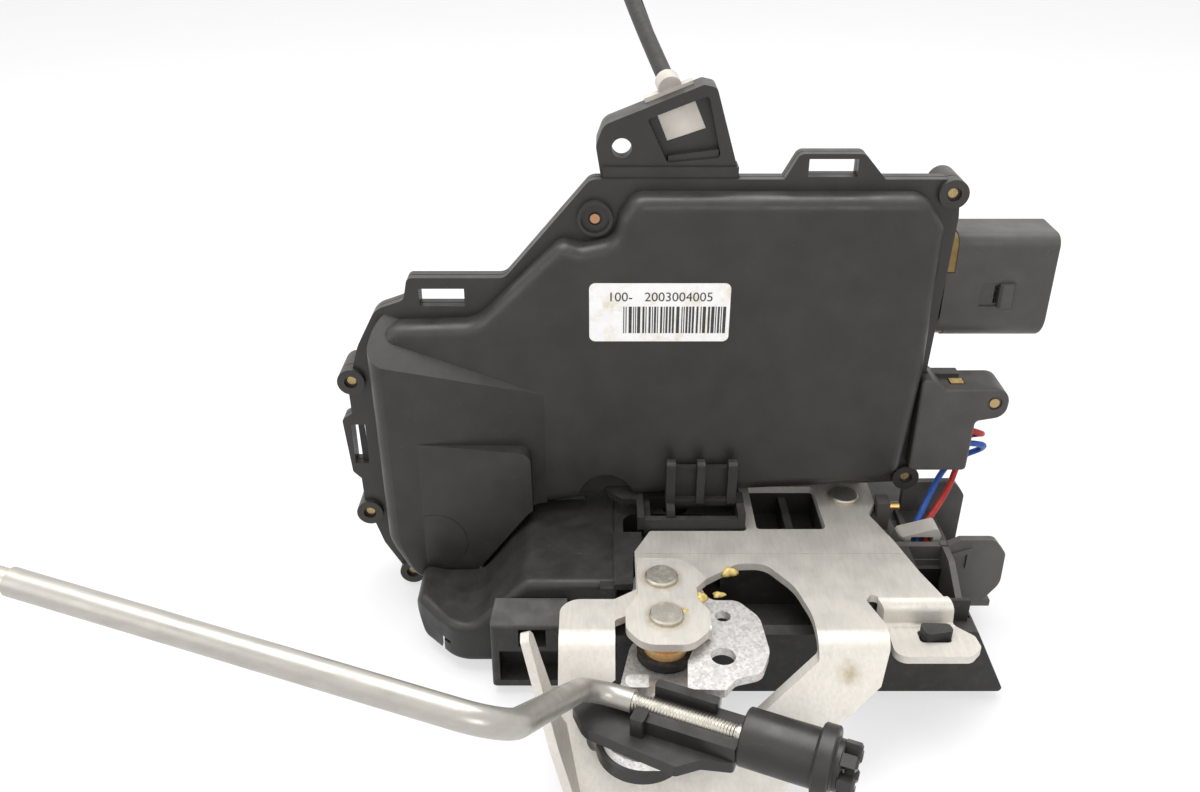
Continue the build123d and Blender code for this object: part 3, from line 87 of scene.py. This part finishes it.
# ---- shader helpers -----------------------------------------------------------------------
class Finish:
    """A principled material with short names for the nodes that its detail needs."""

    def __init__(self, name, metallic=0.0, rough=0.5, coat=0.0, coat_rough=0.1, specular=0.5):
        self.material = bpy.data.materials.new(name)
        self.material.use_nodes = True
        self.tree = self.material.node_tree
        self.shader = self.tree.nodes["Principled BSDF"]
        self.set("Metallic", metallic)
        self.set("Roughness", rough)
        self.set("Coat Weight", coat)
        self.set("Coat Roughness", coat_rough)
        self.set("Specular IOR Level", specular)
        self.place = self.node("ShaderNodeTexCoord").outputs["Object"]

    def set(self, socket, value):
        self.shader.inputs[socket].default_value = value

    def link(self, output, socket):
        self.tree.links.new(output, self.shader.inputs[socket])

    def node(self, kind, **facts):
        made = self.tree.nodes.new(kind)
        for key, value in facts.items():
            setattr(made, key, value)
        return made

    def feed(self, node, *values):
        """Gives the node its inputs in order, each another node's output or a plain value."""
        for socket, value in zip(node.inputs, values):
            if isinstance(value, bpy.types.NodeSocket):
                self.tree.links.new(value, socket)
            else:
                socket.default_value = value
        return node

    def math(self, operation, *values):
        return self.feed(self.node("ShaderNodeMath", operation=operation), *values).outputs[0]

    def vector(self, operation, *values):
        made = self.feed(self.node("ShaderNodeVectorMath", operation=operation), *values)
        socket = "Value" if operation in ("DOT_PRODUCT", "DISTANCE") else "Vector"
        return made.outputs[socket]

    def stretched(self, x, y, z):
        """Coordinates squeezed along an axis, so that noise on them runs along it."""
        return self.vector("MULTIPLY", self.place, (x, y, z))

    def noise(self, size_mm, detail=3.0, rough=0.55, place=None):
        """Noise from nought to one, with lumps of about the given size."""
        made = self.node("ShaderNodeTexNoise")
        made.inputs["Scale"].default_value = 1.0 / (size_mm * MM)
        made.inputs["Detail"].default_value = detail
        made.inputs["Roughness"].default_value = rough
        self.tree.links.new(place or self.place, made.inputs["Vector"])
        return made.outputs["Fac"]

    def span(self, value, low, high, to_low=0.0, to_high=1.0):
        """The value's range from low to high stretched over another range, and clamped there."""
        made = self.node("ShaderNodeMapRange", clamp=True)
        return self.feed(made, value, low, high, to_low, to_high).outputs[0]

    def mix(self, factor, first, second):
        """The first colour where the factor is nought, the second where it is one."""
        made = self.node("ShaderNodeMix", data_type="RGBA")
        sockets = (made.inputs[0], made.inputs[6], made.inputs[7])
        for socket, value in zip(sockets, (factor, first, second)):
            if isinstance(value, bpy.types.NodeSocket):
                self.tree.links.new(value, socket)
            elif isinstance(value, (int, float)):
                socket.default_value = value
            else:
                socket.default_value = (*value[:3], 1.0)
        return made.outputs[2]

    def upward(self, low=0.3, high=1.0):
        """One where the surface looks up, nought where it looks sideways or down."""
        normal = self.node("ShaderNodeNewGeometry").outputs["Normal"]
        return self.span(self.vector("DOT_PRODUCT", normal, (0.0, 0.0, 1.0)), low, high)

    def near(self, point, inner_mm, outer_mm):
        """One within the inner distance of a point, nought beyond the outer one."""
        away = self.vector("DISTANCE", self.place, tuple(point))
        return self.span(away, inner_mm * MM, outer_mm * MM, 1.0, 0.0)

    def bump(self, height, strength=0.3, depth_mm=0.1):
        made = self.node("ShaderNodeBump")
        made.inputs["Strength"].default_value = strength
        made.inputs["Distance"].default_value = depth_mm * MM
        self.tree.links.new(height, made.inputs["Height"])
        self.link(made.outputs["Normal"], "Normal")


def moulded(name, shade, dust=0.25, rough=0.46, tint=(1.07, 1.0, 0.90), dirt=0.0):
    """Moulded plastic: fine grain, scuffs and grey dust where it looks up."""
    f = Finish(name, rough=rough, specular=0.42)
    base = [shade * channel for channel in tint]
    cloud = f.span(f.noise(9.0, 4.0), 0.35, 0.7)
    colour = f.mix(cloud, [0.86 * c for c in base], [1.18 * c for c in base])
    settle = f.math("MULTIPLY", f.upward(), f.span(f.noise(5.0, 6.0, 0.65), 0.3, 0.75, 0.25, 1.0))
    colour = f.mix(f.math("MULTIPLY", settle, dust), colour, DUST)
    specks = f.span(f.noise(0.5, 2.0), 0.70, 0.78)
    colour = f.mix(f.math("MULTIPLY", specks, 0.35 * dust + 0.04), colour, PALE_SPECK)
    scuff = f.span(f.noise(1.2, 5.0, 0.7, f.stretched(0.25, 1.0, 1.6)), 0.66, 0.74)
    colour = f.mix(f.math("MULTIPLY", scuff, 0.14), colour, SCUFFED)
    if dirt:
        soil = f.span(f.noise(3.2, 6.0, 0.7), 0.52, 0.66)
        colour = f.mix(f.math("MULTIPLY", soil, dirt), colour, PLASTIC_SOIL)
    f.link(colour, "Base Color")
    f.link(f.span(f.noise(6.0, 5.0), 0.3, 0.75, rough - 0.09, rough + 0.14), "Roughness")
    f.bump(f.noise(0.35, 2.0), 0.16, 0.05)
    return f.material


def sheet_steel(name, shade, streak=(1.0, 0.15, 1.0), metallic=0.5, rough=0.46, stains=(), grime=0.25):
    """Pressed steel: warm grey with drawing lines, stains, and yellowed grease round the rivets."""
    f = Finish(name, metallic=metallic, rough=rough)
    warm = (shade, shade * 0.95, shade * 0.86)
    lines = f.noise(0.8, 4.0, 0.6, f.stretched(*streak))
    blotch = f.span(f.noise(7.0, 5.0, 0.6), 0.32, 0.72)
    colour = f.mix(f.span(lines, 0.35, 0.65), [0.94 * c for c in warm], [1.04 * c for c in warm])
    colour = f.mix(f.math("MULTIPLY", blotch, 0.22), colour, (shade * 0.72, shade * 0.66, shade * 0.60))
    soil = f.span(f.noise(2.4, 7.0, 0.72), 0.56, 0.70)
    colour = f.mix(f.math("MULTIPLY", soil, grime), colour, STEEL_SOIL)
    for point, inner, outer in stains:
        patchy = f.span(f.noise(1.6, 5.0), 0.3, 0.6, 0.35, 1.0)
        ring = f.math("MULTIPLY", f.near(point, inner, outer), patchy)
        colour = f.mix(f.math("MULTIPLY", ring, 0.62), colour, RIVET_GREASE)
    f.link(colour, "Base Color")
    f.link(f.span(blotch, 0.0, 1.0, rough - 0.06, rough + 0.16), "Roughness")
    f.bump(f.math("ADD", lines, f.noise(0.35, 2.0)), 0.12, 0.04)
    return f.material


def speckled_zinc(name, shade):
    """Zinc plating with the fine dark speckle of its crystals."""
    f = Finish(name, metallic=0.55, rough=0.40)
    grains = f.node("ShaderNodeTexVoronoi")
    grains.inputs["Scale"].default_value = 1500.0
    f.tree.links.new(f.place, grains.inputs["Vector"])
    light = (shade, shade * 0.975, shade * 0.94)
    crystals = f.span(grains.outputs["Color"], 0.15, 0.8)
    colour = f.mix(crystals, [0.76 * c for c in light], [1.08 * c for c in light])
    specks = f.span(f.noise(0.45, 3.0, 0.7), 0.60, 0.70)
    colour = f.mix(f.math("MULTIPLY", specks, 0.55), colour, ZINC_SPECK)
    soil = f.span(f.noise(3.0, 6.0, 0.7), 0.56, 0.72)
    colour = f.mix(f.math("MULTIPLY", soil, 0.32), colour, ZINC_SOIL)
    f.link(colour, "Base Color")
    f.bump(f.noise(0.4, 2.0), 0.2, 0.04)
    return f.material


def drawn_metal(name, base, metallic=0.9, rough=0.32, dirt=0.15):
    """Turned, drawn or stamped small metal: fine grain, darker soil in patches."""
    f = Finish(name, metallic=metallic, rough=rough)
    grain = f.noise(0.3, 3.0, 0.5)
    colour = f.mix(f.span(grain, 0.3, 0.7), [0.82 * c for c in base], [1.1 * c for c in base])
    soil = f.span(f.noise(1.8, 5.0, 0.7), 0.5, 0.7)
    colour = f.mix(f.math("MULTIPLY", soil, dirt), colour, [0.35 * c for c in base])
    f.link(colour, "Base Color")
    f.link(f.span(soil, 0.0, 1.0, rough, rough + 0.2), "Roughness")
    f.bump(grain, 0.15, 0.03)
    return f.material


def cover_rivet(name):
    """Brass pins in the cover's rim, and one of copper in its sunk boss."""
    f = Finish(name, metallic=0.85, rough=0.38)
    scratch = f.span(f.noise(0.3, 3.0), 0.3, 0.7)
    colour = f.mix(f.near(COPPER_PIN, 6.0, 7.0), (0.55, 0.40, 0.17), (0.60, 0.27, 0.15))
    f.link(f.mix(scratch, [0.3, 0.22, 0.12], colour), "Base Color")
    f.bump(scratch, 0.2, 0.03)
    return f.material


def soft_rubber(name, base, rough=0.6, spots=0.2):
    """Rubber or cable insulation: faint mottling and dust."""
    f = Finish(name, rough=rough, specular=0.28)
    cloud = f.span(f.noise(2.5, 4.0), 0.3, 0.7)
    colour = f.mix(cloud, [0.8 * c for c in base], [1.2 * c for c in base])
    dust = f.math("MULTIPLY", f.upward(0.2, 1.0), f.span(f.noise(1.5, 5.0), 0.35, 0.7))
    colour = f.mix(f.math("MULTIPLY", dust, spots), colour, RUBBER_DUST)
    f.link(colour, "Base Color")
    f.bump(f.noise(0.4, 2.0), 0.12, 0.04)
    return f.material


def label_paper(name):
    """White label film, yellowed and stained by glue in patches."""
    f = Finish(name, rough=0.42, specular=0.45)
    stain = f.span(f.noise(5.0, 6.0, 0.65), 0.5, 0.68)
    colour = f.mix(f.span(f.noise(3.0, 4.0), 0.3, 0.7), (0.80, 0.795, 0.775), (0.86, 0.855, 0.845))
    colour = f.mix(f.math("MULTIPLY", stain, 0.55), colour, GLUE_STAIN)
    f.link(colour, "Base Color")
    f.bump(f.noise(2.0, 2.0), 0.1, 0.05)
    return f.material


def printed(name, shade):
    """Black print, worn a little paler in patches."""
    f = Finish(name, rough=0.5)
    worn = f.span(f.noise(0.6, 3.0), 0.35, 0.75)
    f.link(f.mix(worn, (shade, shade, shade), (shade * 2.6, shade * 2.5, shade * 2.4)), "Base Color")
    return f.material


def old_grease(name):
    """Yellow grease, paler in patches."""
    f = Finish(name, rough=0.22, coat=0.4, coat_rough=0.12)
    pale = f.span(f.noise(0.9, 4.0), 0.35, 0.7)
    f.link(f.mix(pale, (0.42, 0.30, 0.07), (0.80, 0.62, 0.22)), "Base Color")
    f.bump(f.noise(0.7, 3.0), 0.5, 0.2)
    return f.material


# ---- finishes of the part -----------------------------------------------------------------
# where, and how far out in mm the stain is full and gone
PLATE_STAINS = [(RIVETS[0], 3.8, 5.6), (RIVETS[1], 3.8, 5.8), (RIVETS[2], 3.6, 5.2), (LEG_STAIN, 0.6, 3.4)]
FINISHES = {
    "box_plastic": moulded("box plastic", 0.023, dust=0.09, rough=0.40),
    "latch_plastic": moulded("latch housing plastic", 0.014, dust=0.10, rough=0.50, dirt=0.15),
    "side_plastic": moulded("side cover plastic", 0.012, dust=0.08, rough=0.46),
    "plug_plastic": moulded("plug plastic", 0.050, dust=0.12, rough=0.45),
    "fitting_nylon": moulded("cable fitting nylon", 0.50, dust=0.1, rough=0.42, tint=(1.08, 1.0, 0.88)),
    "clip_plastic": moulded("rod clip plastic", 0.016, dust=0.10, rough=0.36),
    "bridge_plastic": moulded("bridge plastic", 0.016, dust=0.14, rough=0.46),
    "guard_plastic": moulded("wire guard plastic", 0.070, dust=0.16, rough=0.42),
    "clip_grey": moulded("grey clip plastic", 0.42, dust=0.1, rough=0.5),
    "gear_nylon": moulded("gear nylon", 0.72, dust=0.05, rough=0.45),
    "inner_lever_plastic": moulded("inner lever plastic", 0.22, dust=0.05, rough=0.45),
    "board_plastic": moulded("carrier plastic", 0.09, dust=0.05, tint=(0.9, 1.0, 1.15)),
    "switch_black": moulded("switch plastic", 0.04, dust=0.05),
    "seal_foam": soft_rubber("seal rubber", (0.04, 0.04, 0.042)),
    "seal_amber": soft_rubber("amber seal rubber", (0.24, 0.155, 0.045), rough=0.45),
    "cable_black": soft_rubber("cable sheath", (0.026, 0.025, 0.023), rough=0.5, spots=0.05),
    "washer_black": soft_rubber("washer rubber", (0.03, 0.03, 0.03)),
    "wire_red": soft_rubber("red wire insulation", (0.42, 0.025, 0.02), rough=0.4, spots=0.08),
    "wire_blue": soft_rubber("blue wire insulation", (0.02, 0.085, 0.36), rough=0.4, spots=0.08),
    "label_white": label_paper("label film"),
    "plate_steel": sheet_steel("pressed plate", 0.64, stains=PLATE_STAINS, grime=0.12),
    "lock_steel": sheet_steel("lock plate steel", 0.60, streak=(0.15, 1.0, 1.0)),
    "rivet_steel": drawn_metal("rivet steel", (0.56, 0.53, 0.46), rough=0.40, dirt=0.25),
    "lever_zinc": speckled_zinc("zinc plated lever", 0.75),
    "claw_steel": drawn_metal("claw steel", (0.32, 0.32, 0.33), rough=0.4),
    "spring_steel": drawn_metal("spring steel", (0.42, 0.42, 0.44)),
    "rod_steel": drawn_metal("zinc plated rod", (0.60, 0.57, 0.50), rough=0.34, dirt=0.3),
    "sleeve_grey": sheet_steel("rod sleeve", 0.44, streak=(0.12, 0.5, 0.5), metallic=0.6, rough=0.33,
                               grime=0.08),
    "wire_steel": drawn_metal("cable wire steel", (0.55, 0.55, 0.56)),
    "pin_tin": drawn_metal("tinned steel", (0.68, 0.68, 0.67)),
    "motor_can": drawn_metal("motor can steel", (0.6, 0.6, 0.6), rough=0.3),
    "screw_copper": cover_rivet("cover rivets"),
    "bush_bronze": drawn_metal("bronze bush", (0.86, 0.52, 0.22), metallic=0.3, rough=0.36, dirt=0.12),
    "terminal_brass": drawn_metal("brass", (0.66, 0.45, 0.17), rough=0.3, dirt=0.25),
}

for row in frame["record"]["subparts"]:
    mesh = NODES[row["node"]].data
    mesh.materials.clear()
    mesh.materials.append(FINISHES[row["material_slot"]])


# ---- pieces -------------------------------------------------------------------------------
def new_mesh(name, points, faces, finish, body, smooth=False):
    """A piece from its points and faces, riding on a body of the frame."""
    mesh = bpy.data.meshes.new(name)
    mesh.from_pydata([tuple(point) for point in points], [], faces)
    mesh.update()
    if smooth:
        for polygon in mesh.polygons:
            polygon.use_smooth = True
    mesh.materials.append(finish)
    piece = bpy.data.objects.new(name, mesh)
    bpy.context.scene.collection.objects.link(piece)
    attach(piece, body)
    return piece


def flat_boxes(name, boxes, finish, body):
    """Several thin boxes (low corner, high corner) as one mesh."""
    points, faces = [], []
    for low, high in boxes:
        first = len(points)
        corners = [(low[0], low[1]), (high[0], low[1]), (high[0], high[1]), (low[0], high[1])]
        points += [(x, y, z) for z in (low[2], high[2]) for x, y in corners]
        for side in ((0, 3, 2, 1), (4, 5, 6, 7), (0, 1, 5, 4), (1, 2, 6, 5), (2, 3, 7, 6), (3, 0, 4, 7)):
            faces.append([first + corner for corner in side])
    return new_mesh(name, points, faces, finish, body)


def printing():
    """A made-up number and bar code on the label."""
    black = printed("label print", 0.02)
    bars = []
    x = BARS_X[0]
    while x < BARS_X[1]:
        width = random.choice(BAR_WIDTHS)
        low = Vector((x * MM, FACE_Y - INK, BARS_Z[0] * MM))
        high = Vector(((x + width) * MM, FACE_Y, BARS_Z[1] * MM))
        bars.append((low, high))
        x += width + random.choice(BAR_GAPS)
    flat_boxes("label_bar_code", bars, black, "latch")
    text = bpy.data.curves.new("label_number", "FONT")
    text.body = "100-   2003004005"
    text.size = DIGITS_SIZE * MM
    text.extrude = 0.01 * MM
    holder = bpy.data.objects.new("label_number", text)
    bpy.context.scene.collection.objects.link(holder)
    bpy.context.view_layer.update()
    mesh = bpy.data.meshes.new_from_object(holder)
    bpy.data.objects.remove(holder)
    corner = Vector((DIGITS_AT[0] * MM, FACE_Y - INK, DIGITS_AT[1] * MM))
    points = [corner + Vector((v.co.x, v.co.z, v.co.y)) for v in mesh.vertices]
    faces = [list(polygon.vertices) for polygon in mesh.polygons]
    new_mesh("label_digits", points, faces, black, "latch")


def thread():
    """Rolled M4 thread on the rod, from its sleeve to past the adjuster."""
    pitch, crest, root = 0.7 * MM, 2.0 * MM, 1.72 * MM
    start, end, sides, per_turn = 0.3 * MM, 23.2 * MM, 20, 6
    across = ROD_DIR.cross(UP)
    rings = int((end - start) / pitch * per_turn) + 1
    points, faces = [], []
    for ring in range(rings):
        s = start + (end - start) * ring / (rings - 1)
        for side in range(sides):
            angle = 2 * math.pi * side / sides
            phase = (s / pitch - side / sides) % 1.0
            radius = root + (crest - root) * (1 - abs(2 * phase - 1))
            outward = across * math.cos(angle) + UP * math.sin(angle)
            points.append(STEP + ROD_DIR * s + outward * radius)
    for ring in range(rings - 1):
        for side in range(sides):
            a, b = ring * sides + side, ring * sides + (side + 1) % sides
            faces.append([a, a + sides, b + sides, b])
    faces.append(list(range(sides)))
    faces.append([(rings - 1) * sides + side for side in reversed(range(sides))])
    new_mesh("rod_thread", points, faces, FINISHES["rod_steel"], "handle_rod", smooth=True)


def blob(name, centre, size, finish, body):
    """A lump of grease, flat underneath and uneven on top."""
    points, faces = [], []
    around, rise = 14, 5
    for level in range(rise):
        tilt = math.pi / 2 * level / rise
        for step in range(around):
            angle = 2 * math.pi * step / around
            wobble = 1 + 0.22 * math.sin(3 * angle + size[0] * 900) + 0.1 * math.sin(5 * angle)
            reach = math.cos(tilt) * wobble
            points.append(centre + Vector((size[0] * reach * math.cos(angle),
                                           size[1] * reach * math.sin(angle),
                                           size[2] * math.sin(tilt))))
    points.append(centre + UP * size[2])
    for level in range(rise - 1):
        for step in range(around):
            a, b = level * around + step, level * around + (step + 1) % around
            faces.append([a, b, b + around, a + around])
    top = (rise - 1) * around
    for step in range(around):
        faces.append([top + step, top + (step + 1) % around, len(points) - 1])
    faces.append(list(reversed(range(around))))
    new_mesh(name, points, faces, finish, body, smooth=True)


def grease():
    """Lumps of old grease about the lever and the plate's arch."""
    finish = old_grease("old grease")
    lever_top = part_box("release_lever")[1].z / MM
    spots = [
        ("grease_on_lever", (-13.6, -9.4, lever_top - 0.1), (1.6, 1.0, 0.8), "release_lever"),
        ("grease_arch_edge", (-10.6, -2.6, 28.2), (2.1, 1.4, 1.8), "latch"),
        ("grease_notch", (-18.6, -14.2, 29.7), (1.7, 2.0, 1.6), "latch"),
        ("grease_rivet_lower", (-22.6, -20.4, 31.4), (0.9, 0.7, 0.4), "latch"),
    ]
    for name, centre, size, body in spots:
        blob(name, Vector(centre) * MM, [edge * MM for edge in size], finish, body)


# a black strip that paints the shade in the slit between the cover's rim and the side cover
SLIT_SHADE_STRIP = [(-60, 30.1, 22), (-46, 31.6, 29)]  # low and high corner in mm, behind the side cover


def slit_shade_strip():
    """A black strip below the cover's rim: painted shade that darkens the slit to the side cover."""
    box = [Vector(corner) * MM for corner in SLIT_SHADE_STRIP]
    flat_boxes("slit_shade_strip", [box], FINISHES["seal_foam"], "latch")


# the same route as the solid sheath, in mm
CABLE = [
    (-26.6, 40.0, 137.4), (-31.0, 64.0, 144.0), (-36.5, 98.0, 154.0), (-39.0, 136.0, 160.0),
    (-38.0, 172.0, 157.0), (-33.3, 199.0, 142.0), (-22.9, 203.0, 116.0), (-11.5, 192.0, 88.0),
    (-4.0, 174.0, 62.0), (1.0, 154.0, 38.0), (2.0, 132.0, 18.0), (-3.0, 108.0, 6.8),
    (-15.0, 87.0, 3.8), (-35.0, 74.0, 3.3), (-57.0, 70.0, 3.3),
]
SHEATH_R = 2.0 * MM


def release_cable():
    """The Bowden cable's sheath as one smooth line."""
    line = bpy.data.curves.new("release_cable", "CURVE")
    line.dimensions = "3D"
    line.bevel_depth = SHEATH_R
    line.bevel_resolution = 6
    line.resolution_u = 8
    line.use_fill_caps = True
    spline = line.splines.new("NURBS")
    spline.points.add(len(CABLE) - 1)
    for point, place in zip(spline.points, CABLE):
        point.co = (*(Vector(place) * MM), 1.0)
    spline.order_u = 3
    spline.use_endpoint_u = True
    line.materials.append(FINISHES["cable_black"])
    cable = bpy.data.objects.new("release_cable", line)
    bpy.context.scene.collection.objects.link(cable)
    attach(cable, "latch")
    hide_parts("cable_sheath")


printing()
thread()
grease()
slit_shade_strip()
release_cable()


# ---- table, light and camera --------------------------------------------------------------
BACKDROP_SHARE = 0.62      # how much of the floor's look is plain white, the rest keeps the shadow
FLOOR_REACH = 6.0          # metres from the middle to an edge
WORLD_LIGHT = 0.75         # strength of the light from all sides, as the part sees it
CAMERA_AT = (-0.042, -0.217, 0.194)
CAMERA_TILT = 61.5         # degrees up from looking straight down
LENS = 32.85


def seen_rays(tree):
    """One for rays from the camera, off metal or through clear parts."""
    path = tree.nodes.new("ShaderNodeLightPath")
    value = path.outputs["Is Camera Ray"]
    for kind in ("Is Glossy Ray", "Is Transmission Ray"):
        both = tree.nodes.new("ShaderNodeMath")
        both.operation = "MAXIMUM"
        tree.links.new(value, both.inputs[0])
        tree.links.new(path.outputs[kind], both.inputs[1])
        value = both.outputs[0]
    return value


def table_top():
    """A plain pale floor that the camera sees as nearly white."""
    f = Finish("table", rough=0.6, specular=0.2)
    cloud = f.span(f.noise(60.0, 3.0), 0.3, 0.7)
    f.link(f.mix(cloud, (0.90, 0.89, 0.905), (0.92, 0.91, 0.925)), "Base Color")
    glow = f.node("ShaderNodeEmission")
    glow.inputs["Color"].default_value = WHITE
    glow.inputs["Strength"].default_value = 1.0
    blend = f.node("ShaderNodeMixShader")
    f.tree.links.new(f.math("MULTIPLY", seen_rays(f.tree), BACKDROP_SHARE), blend.inputs[0])
    f.tree.links.new(f.shader.outputs[0], blend.inputs[1])
    f.tree.links.new(glow.outputs[0], blend.inputs[2])
    f.tree.links.new(blend.outputs[0], f.tree.nodes["Material Output"].inputs["Surface"])
    mesh = bpy.data.meshes.new("table")
    corners = [(x * FLOOR_REACH, y * FLOOR_REACH, 0) for x, y in ((-1, -1), (1, -1), (1, 1), (-1, 1))]
    mesh.from_pydata(corners, [], [(0, 1, 2, 3)])
    mesh.materials.append(f.material)
    floor = bpy.data.objects.new("table", mesh)
    bpy.context.scene.collection.objects.link(floor)


def area_light(name, place, target, size, power):
    """A white softbox of the given size in metres and power in watts, turned to its target."""
    light = bpy.data.lights.new(name, "AREA")
    light.shape = "RECTANGLE"
    light.size, light.size_y = size
    light.energy = power
    holder = bpy.data.objects.new(name, light)
    bpy.context.scene.collection.objects.link(holder)
    holder.location = place
    holder.rotation_euler = (Vector(target) - Vector(place)).to_track_quat("-Z", "Y").to_euler()


def surroundings():
    """White where the camera sees it, a little dimmer where it lights the part."""
    world = bpy.data.worlds.new("studio")
    world.use_nodes = True
    bpy.context.scene.world = world
    tree = world.node_tree
    seen = tree.nodes["Background"]
    seen.inputs["Color"].default_value = WHITE
    seen.inputs["Strength"].default_value = 1.0
    lit = tree.nodes.new("ShaderNodeBackground")
    lit.inputs["Color"].default_value = (0.98, 0.98, 1.0, 1.0)
    lit.inputs["Strength"].default_value = WORLD_LIGHT
    choose = tree.nodes.new("ShaderNodeMixShader")
    tree.links.new(seen_rays(tree), choose.inputs[0])
    tree.links.new(lit.outputs[0], choose.inputs[1])
    tree.links.new(seen.outputs[0], choose.inputs[2])
    tree.links.new(choose.outputs[0], tree.nodes["World Output"].inputs["Surface"])


def camera():
    """The photograph's view, from in front of the cover and looking down at it."""
    view = bpy.data.cameras.new("camera")
    view.lens = LENS
    view.sensor_width = 36.0
    view.clip_start = 0.01
    holder = bpy.data.objects.new("camera", view)
    bpy.context.scene.collection.objects.link(holder)
    holder.location = CAMERA_AT
    holder.rotation_euler = (math.radians(CAMERA_TILT), 0.0, 0.0)
    bpy.context.scene.camera = holder


table_top()
surroundings()
area_light("ceiling", (-0.1, 0.15, 0.9), (0, 0, 0.04), (0.9, 0.5), 7.5)
area_light("left", (-0.75, -0.45, 0.45), (-0.03, 0, 0.04), (0.5, 0.5), 1.5)
area_light("front", (0.2, -0.95, 0.5), (0, 0, 0.04), (0.6, 0.4), 2.0)
camera()
bpy.context.scene.view_settings.view_transform = "Standard"
bpy.context.scene.view_settings.look = "None"
